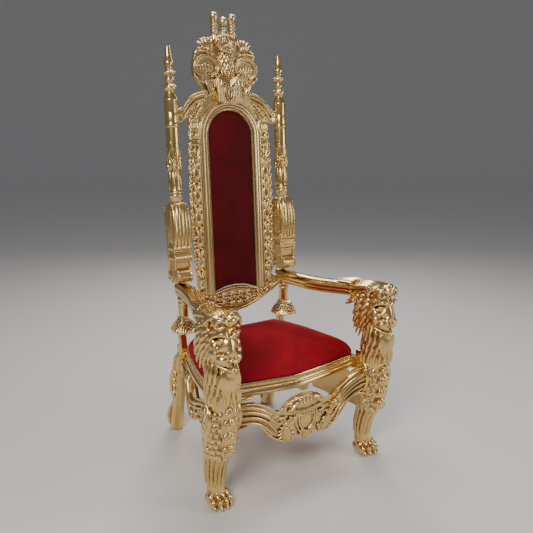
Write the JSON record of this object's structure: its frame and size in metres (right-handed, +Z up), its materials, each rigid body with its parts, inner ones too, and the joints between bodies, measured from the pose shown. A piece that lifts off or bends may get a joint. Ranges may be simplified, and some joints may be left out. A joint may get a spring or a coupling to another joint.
{
  "type": "throne",
  "caption": "Tall gilded throne with carved lion arm posts, claw feet, a crowned crest, turned columns and crimson velvet seat and back.",
  "frame": {"origin": "on the floor, under the middle of the whole object's box", "axes": "+Z up, the sitter looks along -Y, +X is to the right when the throne is looked at from the front"},
  "size_m": [0.8478, 0.787, 1.8074],
  "materials": {
    "gilt": "carved hardwood under polished gold leaf, with red-brown bole in the hollows",
    "velvet": "crimson velvet over foam",
    "backing": "thin board, painted gold"
  },
  "bodies": {
    "root": {"front_leg_right": "gilt", "front_leg_left": "gilt", "arm_right": "gilt", "arm_left": "gilt", "rear_leg_right": "gilt", "rear_leg_left": "gilt", "side_rail_right": "gilt", "side_rail_left": "gilt", "side_apron_right": "gilt", "side_apron_left": "gilt", "back_column_right": "gilt", "back_column_left": "gilt", "back_bracket_right": "gilt", "back_bracket_left": "gilt", "back_strip_right": "gilt", "back_strip_left": "gilt", "front_rail": "gilt", "rear_rail": "gilt", "seat_cushion": "velvet", "front_apron": "gilt", "back_frame": "gilt", "back_cushion": "velvet", "back_board": "backing", "yoke_rail": "gilt", "crest": "gilt", "lower_back_rail": "gilt"}
  },
  "joints": []
}
